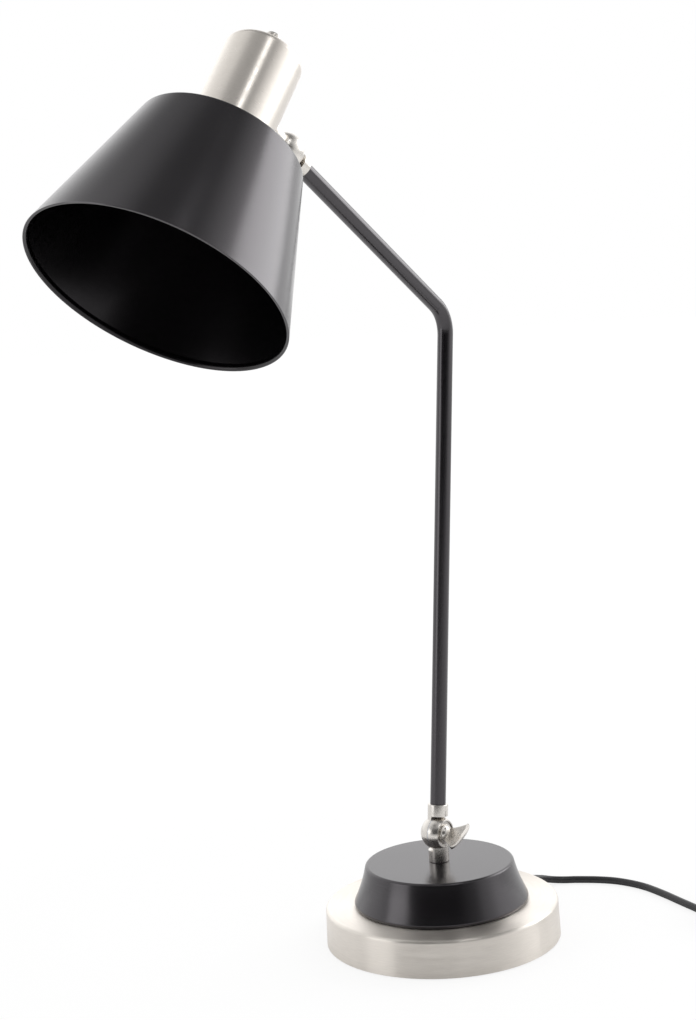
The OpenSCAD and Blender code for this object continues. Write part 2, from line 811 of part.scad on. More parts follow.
// Angle bracket: one leg against the cup's wall, the other over the holder
module holder_bracket() {
    top = neck_z + nut_af / 2 + 2;
    color(nickel)
        at_head()
            difference() {
                translate([-bracket_w / 2, -bracket_w / 2, bracket_z])
                    difference() {
                        cube([bracket_w, leg_y + bracket_w / 2, top - bracket_z]);
                        translate([-e, -e, bracket_t])
                            cube([bracket_w + 2 * e, leg_y + bracket_w / 2 - bracket_t + e, top]);
                    }
                translate([0, 0, bracket_z - e])
                    cylinder(r = rod_d / 2 + hole_gap, h = bracket_t + 2 * e);
                at_side() cylinder(r = rod_d / 2 + hole_gap, h = cup_d);
            }
}

module holder_nipple() {
    color(nickel)
        at_head()
            hollow_rod(bracket_z - 2.9, bracket_z + bracket_t + nut_t + 0.6);
}

module holder_nut() {
    color(nickel)
        at_head()
            hex_nut(bracket_z + bracket_t, bracket_z + bracket_t + nut_t);
}

module holder_body() {
    bore = shell_r + fit_gap;
    bore_top = shell_len - skirt_len + 6.2;
    color(black)
        at_head()
            rotate_extrude()
                polygon([
                    [bore, -skirt_len], [skirt_d / 2 - 0.6, -skirt_len],
                    [skirt_d / 2, -skirt_len + 0.6], [skirt_d / 2, 0],
                    [cup_ri - 0.5, 0], [cup_ri - 0.5, flange_t], [skirt_d / 2 - 2.5, flange_t + 1],
                    [skirt_d / 2 - 3, holder_h - 4], [skirt_d / 2 - 6, holder_h],
                    [rod_d / 2 + fit_gap, holder_h], [rod_d / 2 + fit_gap, holder_h - 3],
                    [shell_r - 3, holder_h - 5], [shell_r - 3, bore_top],
                    [bore, bore_top]]);
}

module holder_shell() {
    z0 = 0.6 - skirt_len;
    color(brass)
        at_head()
            ring(shell_r, shell_bore_d / 2, z0, z0 + shell_len);
}

module holder_core() {
    top = shell_len - skirt_len + 6.2;
    color(ceramic)
        at_head()
            difference() {
                ring(shell_r, 1.6, top - 2.4, top);
                for (s = [-1, 1]) translate([s * 8, 0, top - 3]) cylinder(r = 1.2, h = 4);
            }
}

module centre_contact() {
    top = shell_len - skirt_len + 6.2 - 2.4;
    color(brass)
        at_head() {
            translate([0, 0, top - 0.4]) cylinder(r = 5, h = 0.4);
            translate([0, 0, top - 2]) cylinder(r1 = 1.8, r2 = 2.6, h = 1.6);
            translate([0, 0, top]) cylinder(r = 1.5, h = 2.4);
        }
}

module shade() {
    top_r = shade_top_d / 2;
    mouth_r = shade_d / 2;
    hole_r = skirt_d / 2 + hole_gap;
    slope = atan((mouth_r - top_r) / shade_h);
    er = shade_edge_r;
    c = [top_r - er * tan(45 - slope / 2) * 1.0, -er];
    inner = er - shade_wall;
    // outer side at height z
    function side(z, off) = top_r + (mouth_r - top_r) * (-z / shade_h) - off / cos(slope);
    color(black)
        at_head()
            rotate_extrude()
                polygon(concat(
                    [[hole_r, 0], [hole_r, -shade_wall]],
                    arc(c[0], c[1], inner, 90, slope),
                    [[side(-shade_h + hem_h + 1, shade_wall), -shade_h + hem_h + 1],
                     [side(-shade_h + hem_h, hem_t), -shade_h + hem_h],
                     [side(-shade_h + 0.5, hem_t), -shade_h + 0.5],
                     [side(-shade_h, hem_t - 0.5), -shade_h],
                     [side(-shade_h, 0.3), -shade_h], [side(-shade_h + 0.3, 0), -shade_h + 0.3]],
                    arc(c[0], c[1], er, slope, 90)));
}

module shade_ring() {
    inner = skirt_d / 2 + fit_gap;
    top = -shade_wall;
    grips = 24;
    color(black)
        at_head()
            difference() {
                rotate_extrude()
                    polygon([
                        [inner, top], [ring_d / 2 - 0.8, top], [ring_d / 2, top - 0.8],
                        [ring_d / 2, top - 1.8], [inner + 3.2, top - 2.6], [inner + 2.6, top - ring_h],
                        [inner, top - ring_h]]);
                for (i = [0 : grips - 1])
                    rotate([0, 0, 360 * i / grips])
                        translate([ring_d / 2 + 0.4, 0, top - 4]) cylinder(r = 1.1, h = 6, $fn = 24);
            }
}

module switch_body() {
    z1 = cup_len - cup_wall;
    color(black)
        at_head()
            difference() {
                union() {
                    translate([0, 0, z1 - switch_len]) cylinder(r = switch_d / 2, h = switch_len);
                    translate([0, 0, z1 - 1]) cylinder(r = rod_d / 2, h = cup_wall + 1 + bush_top);
                }
                translate([0, 0, z1 - 8])
                    cylinder(r = shaft_d / 2 + shaft_fit, h = cup_wall + bush_top + 9);
            }
}

module switch_nut() {
    color(nickel)
        at_head()
            ring(rod_d / 2 + 2.4, rod_d / 2 + fit_gap, cup_len, cup_len + bush_top - 0.7);
}

module switch_knob() {
    z0 = cup_len + bush_top + 0.4;
    z1 = cup_len + knob_top;
    r = knob_d / 2;
    flutes = 18;
    color(nickel)
        at_head() {
            difference() {
                rotate_extrude()
                    polygon([
                        [0, z0], [r - 0.4, z0], [r, z0 + 0.4], [r, z1 - 1],
                        [r - 0.3, z1 - 0.3], [r - 1, z1], [0, z1]]);
                for (i = [0 : flutes - 1])
                    rotate([0, 0, 360 * i / flutes])
                        translate([r + 0.35, 0, z0 + 1])
                            cylinder(r = 0.6, h = z1 - z0 - 3, $fn = 20);
            }
            translate([0, 0, cup_len - 7]) cylinder(r = shaft_d / 2, h = bush_top + 8);
        }
}

base_cover();
base_weight();
base_pad();
dome_cover();
centre_rod();
rod_washer();
rod_nut();
lower_clevis();
lower_friction_washer();
cord_relief();
base_lead();
cord();
cord_coil();
cord_tail();
cord_tie();
plug_body();
plug_pins();
lower_tongue();
arm_tube();
arm_flex();
upper_clevis();
upper_friction_washer();
lower_wing_screw();
upper_wing_screw();
upper_tongue();
saddle_washer();
side_nipple();
side_nut();
cup();
holder_bracket();
holder_nipple();
holder_nut();
holder_body();
holder_shell();
holder_core();
centre_contact();
shade();
shade_ring();
switch_body();
switch_nut();
switch_knob();
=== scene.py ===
import math

import bmesh
import bpy
from mathutils import Matrix, Vector


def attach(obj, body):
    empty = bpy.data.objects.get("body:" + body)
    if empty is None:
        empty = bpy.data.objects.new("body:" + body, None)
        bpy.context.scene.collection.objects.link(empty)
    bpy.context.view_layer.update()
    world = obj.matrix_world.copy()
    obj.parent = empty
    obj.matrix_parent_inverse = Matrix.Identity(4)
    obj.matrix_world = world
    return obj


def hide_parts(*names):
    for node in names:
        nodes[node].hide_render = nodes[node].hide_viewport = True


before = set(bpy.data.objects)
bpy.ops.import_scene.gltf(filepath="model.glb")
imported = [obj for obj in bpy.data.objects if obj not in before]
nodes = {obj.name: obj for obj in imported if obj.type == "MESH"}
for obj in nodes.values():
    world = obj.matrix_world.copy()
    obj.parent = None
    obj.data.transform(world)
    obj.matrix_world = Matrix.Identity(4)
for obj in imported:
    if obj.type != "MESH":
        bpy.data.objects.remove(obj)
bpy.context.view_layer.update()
scene = bpy.context.scene
MM = 0.001


# ---------------------------------------------------------------- camera

FRONT = math.radians(38)       # bearing of the photograph's camera, from -Y towards +X
CAMERA_AIM = (-2.35, 6.16, -3.69)       # yaw, pitch down and roll in degrees, from that bearing
CAMERA_AT = (0, -1.07043, 0.39454)      # metres, before the turn to that bearing


def make_camera():
    yaw, pitch, roll = (math.radians(a) for a in CAMERA_AIM)
    bearing = Matrix.Rotation(FRONT, 3, "Z")
    look = Vector((math.sin(yaw) * math.cos(pitch), math.cos(yaw) * math.cos(pitch),
                   -math.sin(pitch)))
    side = look.cross(Vector((0, 0, 1))).normalized()
    up = side.cross(look)
    x = math.cos(roll) * side + math.sin(roll) * up
    y = -math.sin(roll) * side + math.cos(roll) * up
    basis = bearing @ Matrix((x, y, -look)).transposed()
    data = bpy.data.cameras.new("camera")
    data.sensor_width = 36
    data.lens = 60.6
    data.clip_start, data.clip_end = 0.02, 200
    cam = bpy.data.objects.new("camera", data)
    scene.collection.objects.link(cam)
    cam.matrix_world = Matrix.Translation(bearing @ Vector(CAMERA_AT)) @ basis.to_4x4()
    scene.camera = cam


# ---------------------------------------------------------------- cord

# the CAD's cord in millimetres: a route over the table, a coil in layers and a tail to the plug
CORD_R = 2.4
CORD_ROUTE = [
    (0, 97, 8), (0, 98.5, 8), (0, 100, 8), (0.3, 104, 7.4), (2, 111, 5.6), (6, 117.5, 3.6),
    (12, 123.5, 2.6), (20, 129, 2.5), (34, 136, 2.5), (48, 139.5, 2.5), (66, 138.5, 2.5), (85, 132, 2.5),
    (102, 124.5, 2.5), (117, 118, 2.5), (130, 112.5, 2.5),
]
TAIL_ROUTE = [(0, -38, 11), (0, -30, 8.6), (0, -22, 5.4), (0, -14, 2.4), (0, -7, 0.4), (0, -3, 0),
              (0, -1.5, 0), (0, 0, 0)]
COIL_AT = (160, 138)
COIL_R, COIL_PITCH, COIL_START, COIL_LAYERS = 27, 5.4, -112, 4
COIL_TURNS = 9 + 112 / 360
COIL_STEPS = 448
LAYER_TURNS = COIL_TURNS / COIL_LAYERS
COIL_W = COIL_PITCH * LAYER_TURNS
FLOOR_Z = 0.8 + 0.3 + CORD_R
PLUG_AT = (COIL_AT[0] + COIL_R + COIL_W / 2, 188, 7)


def catmull(points, steps):
    """A smooth curve through the points."""
    p = [Vector(q) for q in points]
    p = [2 * p[0] - p[1]] + p + [2 * p[-1] - p[-2]]
    out = []
    for a, b, c, d in zip(p, p[1:], p[2:], p[3:]):
        for s in range(steps):
            t = s / steps
            out.append(0.5 * (2 * b + (c - a) * t + (2 * a - 5 * b + 4 * c - d) * t * t
                              + (3 * b - a - 3 * c + d) * t ** 3))
    return out + [p[-2]]


def climb(t):
    """A soft step from 0 to 1."""
    u = min(max(t, 0), 1)
    return u * u * (3 - 2 * u)


def coil_point(t):
    layer = min(math.floor(t / LAYER_TURNS), COIL_LAYERS - 1)
    u = t / LAYER_TURNS - layer
    r = COIL_R + COIL_W * (0.5 - u if layer % 2 == 0 else u - 0.5)
    z = FLOOR_Z + COIL_PITCH * sum(climb(2 * (t - k * LAYER_TURNS) + 0.5) for k in (1, 2, 3))
    a = math.radians(COIL_START + 360 * t)
    return Vector((COIL_AT[0] + r * math.cos(a), COIL_AT[1] + r * math.sin(a), z))


def cord_path():
    coil = [coil_point(COIL_TURNS * i / COIL_STEPS) for i in range(COIL_STEPS + 1)]
    a = math.radians(COIL_START + 90)
    inwards = Vector((math.cos(a), math.sin(a), 0))
    start, end = coil[0] - 2 * CORD_R * inwards, coil[-1] + Vector((0, 2 * CORD_R, 0))
    # three points in line at each join keep the first and the last stretch of a piece straight
    route = CORD_ROUTE + [start - d * inwards for d in (4, 2, 0)]
    tail = [end + Vector((0, d, 0)) for d in (0, 1, 2)]
    tail += [Vector(PLUG_AT) + Vector(p) for p in TAIL_ROUTE]
    return catmull(route, 6) + coil + catmull(tail, 4)


def tube_curve(name, path, radius):
    """A round curve; the radius sits in its points, so that its box holds the tube and no more."""
    data = bpy.data.curves.new(name, "CURVE")
    data.dimensions = "3D"
    spline = data.splines.new("POLY")
    spline.points.add(len(path) - 1)
    for point, p in zip(spline.points, path):
        point.co = (*(Vector(p) * MM), 1)
        point.radius = radius * MM
    data.bevel_depth = 1.0
    data.bevel_resolution = 6
    data.use_fill_caps = True
    spline.use_smooth = True
    obj = bpy.data.objects.new(name, data)
    scene.collection.objects.link(obj)
    return obj


# ---------------------------------------------------------------- swivels and shade

# millimetres; each swivel is split across its hinge axis, X
BALL_R = 10.7
SPLIT = 0.4                 # from the ball's centre to the face of each half
FLAT = 6.4                  # from the ball's centre to the flat for the wing screw
RECESS_R, RECESS_DEPTH = math.sqrt(BALL_R ** 2 - FLAT ** 2) - 0.75, 0.8
NECK_R, NECK_ROUND, NECK_INTO = 6.5, 0.45, 6
ROD_R, SOCKET = 5.05, 5
LOWER_NECK, UPPER_NECK = 18.4, 16.7
WASHER_R, WASHER_BORE, WASHER_PLAY = BALL_R - 0.1, 4, 0.02

SCREW_R, SCREW_LEN = 2.4, 5
HUB_R, HUB_H, HUB_RIM, HUB_EDGE = 6, 3.2, 0.9, 0.35
HEAD_FOOT, HEAD_R = 1.3, 4.6            # the screw's domed head, before it is pressed flatter
WING_W, WING_REACH, WING_T, WING_BOW = 23, 14.2, 1.5, 3
WING_ROOT = HUB_R - 1.2
RIM_ROLL, RIM_IN, RIM_SPREAD, RIM_ROUND = 0.55, 0.75, 0.55, 0.7
WING_ROWS, WING_COLUMNS = 44, 26

# the lamp's own stance, in millimetres and degrees
HINGE_Z, POLE_LEAN, POLE_LEN = 68.4, 7, 330.5
BEND, REACH_LEN = 62.5, 173
UPPER_TURN, TONGUE_TURN = -55.5, 52.75
LOWER_WING_TURN, UPPER_WING_TURN = 26, 80

# the shade's axis, in metres, and how far it leans; its section, in millimetres
HEAD_AT, HEAD_TILT = (0, -0.155289, 0.492637), math.radians(37.25)
SHADE_TOP_R, SHADE_MOUTH_R, SHADE_H = 48, 75, 94
SHADE_WALL, SHADE_EDGE_R, SHADE_HOLE_R = 0.9, 2.2, 19.7
HEM_H, HEM_T = 2.4, 1.6
SHADED_INSIDE_DEPTH = 0.5              # in the wall, where the painted shade on the lamp shade's inside begins


def at(x, y, z):
    return Matrix.Translation((x, y, z))


def turn(axis, degrees):
    return Matrix.Rotation(math.radians(degrees), 4, axis)


def flip(*signs):
    return Matrix.Diagonal((*signs, 1))


AT_HINGE = at(0, 0, HINGE_Z)
AT_POLE = AT_HINGE @ turn("X", -POLE_LEAN)
AT_REACH = AT_POLE @ at(0, -REACH_LEN * math.sin(math.radians(BEND)),
                        POLE_LEN + REACH_LEN * math.cos(math.radians(BEND)))
AT_REACH = AT_REACH @ turn("X", BEND)
AT_UPPER = AT_REACH @ turn("X", UPPER_TURN)


def bow(cx, cy, r, a0, a1, n):
    """The points of an arc from angle a0 to a1."""
    angles = [math.radians(a0 + (a1 - a0) * i / n) for i in range(n + 1)]
    return [(cx + r * math.cos(a), cy + r * math.sin(a)) for a in angles]


def lathe(bm, profile, matrix, steps=72):
    """A closed outline of (radius, height) points revolved about Z."""
    rings = []
    for r, z in profile:
        if r < 1e-6:
            rings.append([bm.verts.new(matrix @ Vector((0, 0, z)))] * steps)
        else:
            rings.append([bm.verts.new(matrix @ Vector((r * math.cos(a), r * math.sin(a), z)))
                          for a in (2 * math.pi * i / steps for i in range(steps))])
    for ring, after in zip(rings, rings[1:] + rings[:1]):
        for i in range(steps):
            j = (i + 1) % steps
            corners = list(dict.fromkeys((ring[i], ring[j], after[j], after[i])))
            if len(corners) > 2:
                bm.faces.new(corners)


def prism(bm, outline, z0, z1, matrix):
    """A closed outline of (x, y) points raised from z0 to z1."""
    low, high = ([bm.verts.new(matrix @ Vector((x, y, z))) for x, y in outline]
                 for z in (z0, z1))
    bm.faces.new(low)
    bm.faces.new(high)
    for i in range(len(outline)):
        j = (i + 1) % len(outline)
        bm.faces.new((low[i], low[j], high[j], high[i]))


def finished(name, bm, node, body, material, smooth=32):
    """Makes the object of a mesh built in millimetres, which stands for a CAD node."""
    bmesh.ops.recalc_face_normals(bm, faces=bm.faces)
    bmesh.ops.scale(bm, vec=(MM, MM, MM), verts=bm.verts)
    mesh = bpy.data.meshes.new(name)
    bm.to_mesh(mesh)
    bm.free()
    mesh.materials.append(material)
    mesh.shade_smooth()
    mesh.set_sharp_from_angle(angle=math.radians(smooth))
    obj = bpy.data.objects.new(name, mesh)
    scene.collection.objects.link(obj)
    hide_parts(node)
    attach(obj, body)


def swivel_half(name, node, body, clevis, length, matrix, material):
    """Half a ball with its neck along +Z; the clevis half has the flat for the wing screw."""
    bm = bmesh.new()
    side = 1 if clevis else -1
    top = math.degrees(math.asin(FLAT / BALL_R)) if clevis else 90
    round_side = bow(0, 0, BALL_R, math.degrees(math.asin(SPLIT / BALL_R)), top, 40)
    floor = FLAT - RECESS_DEPTH
    if clevis:
        outline = [(0, SPLIT)] + round_side + [(RECESS_R, FLAT), (RECESS_R - 0.15, floor), (0, floor)]
    else:
        outline = [(0, SPLIT)] + round_side[:-1] + [(0, BALL_R)]
    lathe(bm, outline, matrix @ turn("Y", 90 * side), 96)
    # the neck's own side reaches into its half ball; above that it is round, clear of the other half
    span = math.degrees(math.acos(SPLIT / NECK_R))
    own_side = [(side * x, y) for x, y in bow(0, 0, NECK_R, -span, span, 36)]
    prism(bm, own_side, NECK_INTO, BALL_R + 0.4, matrix)
    lathe(bm, [(0, BALL_R + 0.25), (NECK_R, BALL_R + 0.25)]
          + bow(NECK_R - NECK_ROUND, length - NECK_ROUND, NECK_ROUND, 0, 90, 5)
          + [(ROD_R, length), (ROD_R, length - SOCKET), (0, length - SOCKET)], matrix)
    finished(name, bm, node, body, material)


def wing_screw(name, node, body, matrix, material):
    """Hub, domed head and a paddle with a bowed, rolled rim, screwed in along X."""
    bm = bmesh.new()
    floor = FLAT - RECESS_DEPTH + 0.1
    foot = floor + HEAD_FOOT
    hub = ([(0, floor - SCREW_LEN), (SCREW_R, floor - SCREW_LEN), (SCREW_R, floor), (HUB_R, floor),
            (HUB_R, floor + HUB_RIM)]
           + bow(HUB_R - HUB_EDGE, floor + HUB_RIM, HUB_EDGE, 0, 90, 4)
           + [(HUB_R - 1.1, foot)] + bow(0, foot, HEAD_R, 8, 82, 10) + [(0, floor + 6)])
    press = (HUB_H - HUB_RIM) / 4.7
    hub = [(r, z if z < floor + 1.5 else foot + (z - floor - HEAD_FOOT) * press) for r, z in hub]
    lathe(bm, hub, matrix @ turn("Y", 90), 64)
    # the paddle: rows across it, columns outwards, thicker where its rim is rolled
    corner = WING_REACH - WING_BOW
    grid = []
    for j in range(WING_ROWS + 1):
        s = 2 * j / WING_ROWS - 1
        reach = corner + WING_BOW * math.sqrt(max(0.0, 1 - 0.93 * s * s)) - 0.6 * abs(s) ** 6
        row = []
        for i in range(WING_COLUMNS + 1):
            u = i / WING_COLUMNS
            x = 0.2 + u * (reach - 0.2)
            t = min(x / corner, 1.0)
            half = WING_ROOT + (WING_W / 2 - WING_ROOT) * (0.6 * t + 0.4 * t * t)
            edge = min((1 - u) * reach, (1 - abs(s)) * half)
            roll = RIM_ROLL * math.exp(-((((1 - u) * reach - RIM_IN) / RIM_SPREAD) ** 2))
            round_off = math.sqrt(max(0.0, 1 - max(0.0, 1 - edge / RIM_ROUND) ** 2))
            row.append((FLAT + x, s * half, (WING_T / 2 + roll) * round_off))
        grid.append(row)
    for sign in (1, -1):
        sheet = [[bm.verts.new(matrix @ Vector((x, y, sign * t))) for x, y, t in row]
                 for row in grid]
        for a, b in zip(sheet, sheet[1:]):
            for i in range(WING_COLUMNS):
                bm.faces.new((a[i], a[i + 1], b[i + 1], b[i]))
    bmesh.ops.remove_doubles(bm, verts=bm.verts, dist=0.001)
    finished(name, bm, node, body, material, smooth=50)


def friction_washer(name, node, body, matrix, material):
    bm = bmesh.new()
    face = SPLIT - WASHER_PLAY
    lathe(bm, [(WASHER_BORE, -face), (WASHER_R, -face), (WASHER_R, face), (WASHER_BORE, face)],
          matrix @ turn("Y", 90), 96)
    finished(name, bm, node, body, material)


def make_swivels(nickel, steel):
    for name, body, clevis, length, matrix in (
            ("lower_clevis", "base", True, LOWER_NECK, AT_HINGE @ flip(1, 1, -1)),
            ("lower_tongue", "arm", False, LOWER_NECK, AT_POLE),
            ("upper_clevis", "arm", True, UPPER_NECK, AT_REACH @ flip(-1, 1, -1)),
            ("upper_tongue", "head", False, UPPER_NECK,
             AT_UPPER @ turn("X", TONGUE_TURN) @ flip(-1, 1, 1))):
        swivel_half(name + "_ball", name, body, clevis, length, matrix, nickel)
    wing_screw("lower_wing", "lower_wing_screw", "lower_wing",
               AT_HINGE @ turn("X", LOWER_WING_TURN), nickel)
    wing_screw("upper_wing", "upper_wing_screw", "upper_wing",
               AT_UPPER @ flip(-1, 1, 1) @ turn("X", UPPER_WING_TURN), nickel)
    friction_washer("lower_friction_ring", "lower_friction_washer", "base", AT_HINGE, steel)
    friction_washer("upper_friction_ring", "upper_friction_washer", "arm", AT_REACH, steel)


def make_shade(paint):
    """The CAD's section, turned with finer facets and with support rings beside its bends."""
    taper = SHADE_MOUTH_R - SHADE_TOP_R
    slope = math.degrees(math.atan(taper / SHADE_H))
    cx, cy = SHADE_TOP_R - SHADE_EDGE_R * math.tan(math.radians(45 - slope / 2)), -SHADE_EDGE_R

    def side(z, off):
        return SHADE_TOP_R - taper * z / SHADE_H - off / math.cos(math.radians(slope)), z

    hem = -SHADE_H + HEM_H
    outline = [(SHADE_HOLE_R, 0), (SHADE_HOLE_R, -SHADE_WALL), (SHADE_HOLE_R + 0.4, -SHADE_WALL),
               (cx - 0.5, -SHADE_WALL)]
    outline += bow(cx, cy, SHADE_EDGE_R - SHADE_WALL, 90, slope, 10)
    outline += [side(z, SHADE_WALL) for z in (-2.6, -20, -40, -60, -80, hem + 1.6, hem + 1)]
    outline += [side(hem, HEM_T), side(-SHADE_H + 0.5, HEM_T), side(-SHADE_H, HEM_T - 0.5),
                side(-SHADE_H, 0.3), side(-SHADE_H + 0.3, 0)]
    outline += [side(z, 0) for z in (-SHADE_H + 0.9, -80, -60, -40, -20, -2.6)]
    outline += bow(cx, cy, SHADE_EDGE_R, slope, 90, 14) + [(cx - 0.5, 0), (SHADE_HOLE_R + 0.4, 0)]
    bm = bmesh.new()
    matrix = at(*(v / MM for v in HEAD_AT)) @ Matrix.Rotation(-HEAD_TILT, 4, "X")
    lathe(bm, outline, matrix, 256)
    finished("shade_shell", bm, "shade", "head", paint, 40)


# ---------------------------------------------------------------- materials

BLACK = (0.0026, 0.0023, 0.003)
PAINT_TINT = (1.0, 0.95, 1.0)
PAINT_IOR, PAINT_ROUGH = 1.8, 0.21
PAINTED_SHADE_SHARE = 0.4              # of the outside's colour and reflection left on the shade's inside, darkened there as painted shade


class Mat:
    """A node material with short calls for its nodes."""

    def __init__(self, name):
        self.mat = bpy.data.materials.new(name)
        self.mat.use_nodes = True
        self.tree = self.mat.node_tree
        self.bsdf = self.tree.nodes["Principled BSDF"]
        self.coords = self.tree.nodes.new("ShaderNodeTexCoord").outputs["Object"]

    def set(self, **values):
        for key, value in values.items():
            self.bsdf.inputs[key.replace("_", " ")].default_value = value
        return self

    def link(self, out, socket):
        self.tree.links.new(out, self.bsdf.inputs[socket] if isinstance(socket, str) else socket)

    def node(self, kind, **inputs):
        n = self.tree.nodes.new(kind)
        for key, value in inputs.items():
            s = n.inputs[int(key[1:])] if key[0] == "i" and key[1:].isdigit() else n.inputs[key]
            if isinstance(value, bpy.types.NodeSocket):
                self.tree.links.new(value, s)
            else:
                s.default_value = value
        return n

    def noise(self, vector, scale, detail=3, rough=0.55):
        return self.node("ShaderNodeTexNoise", Vector=vector, Scale=scale, Detail=detail,
                         Roughness=rough).outputs["Fac"]

    def math(self, op, a, b=0.0, c=0.0):
        n = self.tree.nodes.new("ShaderNodeMath")
        n.operation = op
        for s, value in zip(n.inputs, (a, b, c)):
            if isinstance(value, bpy.types.NodeSocket):
                self.tree.links.new(value, s)
            else:
                s.default_value = value
        return n.outputs[0]

    def span(self, value, lo, hi):
        """A noise's middle half spread from lo to hi."""
        n = self.node("ShaderNodeMapRange", Value=value)
        n.inputs["From Min"].default_value, n.inputs["From Max"].default_value = 0.25, 0.75
        n.inputs["To Min"].default_value, n.inputs["To Max"].default_value = lo, hi
        return n.outputs["Result"]

    def mix(self, factor, a, b):
        n = self.tree.nodes.new("ShaderNodeMix")
        n.data_type = "RGBA"
        self.tree.links.new(factor, n.inputs["Factor"])
        n.inputs["A"].default_value = (*a, 1)
        n.inputs["B"].default_value = (*b, 1)
        return n.outputs["Result"]

    def moved(self, origin, tilt=0.0):
        """Object coordinates from an origin, turned so that Z runs along an axis leaning by tilt."""
        n = self.node("ShaderNodeVectorRotate", Vector=self.coords, Center=origin, Angle=tilt)
        n.rotation_type = "X_AXIS"
        back = tuple(-v for v in origin)
        return self.node("ShaderNodeVectorMath", i0=n.outputs[0], i1=back).outputs[0]

    def around(self, origin, tilt):
        """The moved coordinates one by one, and the distance from their axis."""
        x, y, z = self.node("ShaderNodeSeparateXYZ", Vector=self.moved(origin, tilt)).outputs
        square = self.math("ADD", self.math("MULTIPLY", x, x), self.math("MULTIPLY", y, y))
        return x, y, z, self.math("SQRT", square)

    def join(self, x, y, z):
        return self.node("ShaderNodeCombineXYZ", X=x, Y=y, Z=z).outputs[0]

    def bump(self, height, distance, strength=1.0, normal=None):
        n = self.node("ShaderNodeBump", Height=height, Distance=distance, Strength=strength)
        if normal is not None:
            self.link(normal, n.inputs["Normal"])
        return n.outputs["Normal"]


def brushed_nickel(name, origin, tilt, rough, stretch):
    """Nickel brushed round an axis: its fine lines stretch the highlights across them."""
    m = Mat(name).set(Metallic=1.0, Anisotropic=stretch, Anisotropic_Rotation=0.25)
    x, y, z, r = m.around(origin, tilt)
    angle = m.math("ARCTAN2", y, x)
    lines = m.noise(m.join(m.math("MULTIPLY", angle, 0.004), r, z), 2600, 3, 0.6)
    soft = m.noise(m.join(m.math("MULTIPLY", angle, 0.01), r, z), 420, 2)
    cloud = m.noise(m.coords, 22, 3)
    m.link(m.mix(m.span(lines, 0.0, 1.0), (0.78, 0.735, 0.68), (0.86, 0.81, 0.752)), "Base Color")
    m.link(m.math("ADD", m.span(soft, rough - 0.04, rough + 0.04), m.span(cloud, -0.01, 0.02)),
           "Roughness")
    m.link(m.bump(lines, 0.000012), "Normal")
    tangent = m.join(m.math("MULTIPLY", y, -1.0), x, 0.0)
    round_it = m.node("ShaderNodeVectorRotate", Vector=tangent, Angle=-tilt)
    round_it.rotation_type = "X_AXIS"
    world = m.node("ShaderNodeVectorTransform", Vector=round_it.outputs[0])
    world.vector_type, world.convert_from, world.convert_to = "VECTOR", "OBJECT", "WORLD"
    m.link(world.outputs[0], "Tangent")
    return m.mat


def satin_nickel(name):
    """The fittings' nickel, with no direction in it."""
    m = Mat(name).set(Metallic=1.0)
    cloud = m.noise(m.coords, 90, 4)
    fine = m.noise(m.coords, 1400, 3)
    m.link(m.mix(m.span(cloud, 0.0, 1.0), (0.72, 0.69, 0.65), (0.79, 0.757, 0.715)), "Base Color")
    m.link(m.math("ADD", m.span(fine, 0.24, 0.3), m.span(cloud, -0.02, 0.03)), "Roughness")
    m.link(m.bump(fine, 0.000002, 1.0, m.bump(cloud, 0.000012)), "Normal")
    return m.mat


def black_paint(name, painted_shade_inside=False):
    """Satin black powder paint: a very fine grain, and faint clouds in its gloss."""
    m = Mat(name).set(IOR=PAINT_IOR, Specular_Tint=(*PAINT_TINT, 1))
    grain = m.noise(m.coords, 1900, 3, 0.6)
    wave = m.noise(m.coords, 240, 2)
    cloud = m.noise(m.coords, 14, 4)
    colour = m.mix(m.span(cloud, 0.0, 1.0), BLACK, tuple(1.25 * c for c in BLACK))
    if painted_shade_inside:
        # painted shade inside the lamp shade: its inside, told from the outside by its distance from the
        # shade's axis, gets a darker colour and a weaker reflection
        depth = SHADED_INSIDE_DEPTH * MM
        slope = (SHADE_MOUTH_R - SHADE_TOP_R) / SHADE_H
        _, _, z, r = m.around(HEAD_AT, HEAD_TILT)
        middle = m.math("MULTIPLY_ADD", z, -slope, SHADE_TOP_R * MM - depth)
        painted_shade_mask = m.math("MULTIPLY", m.math("LESS_THAN", r, middle),
                        m.math("LESS_THAN", z, -depth))
        m.link(m.mix(painted_shade_mask, PAINT_TINT, tuple(PAINTED_SHADE_SHARE * c for c in PAINT_TINT)),
               "Specular Tint")
        darker = m.mix(painted_shade_mask, BLACK, tuple(PAINTED_SHADE_SHARE * c for c in BLACK))
        m.link(colour, darker.node.inputs["A"])
        colour = darker
    m.link(colour, "Base Color")
    m.link(m.math("ADD", m.span(grain, PAINT_ROUGH - 0.02, PAINT_ROUGH + 0.02),
                  m.span(cloud, -0.02, 0.03)), "Roughness")
    m.link(m.bump(grain, 0.000018, 1.0, m.bump(wave, 0.00001)), "Normal")
    return m.mat


def moulded(name, base, rough, grain, depth):
    """Plastic, rubber or another dull surface with a fine grain."""
    m = Mat(name).set(IOR=1.5)
    cells = m.noise(m.coords, grain, 3)
    cloud = m.noise(m.coords, 30, 3)
    m.link(m.mix(m.span(cloud, 0.0, 1.0), base, tuple(1.3 * c for c in base)), "Base Color")
    m.link(m.span(cells, rough - 0.04, rough + 0.05), "Roughness")
    m.link(m.bump(cells, depth), "Normal")
    return m.mat


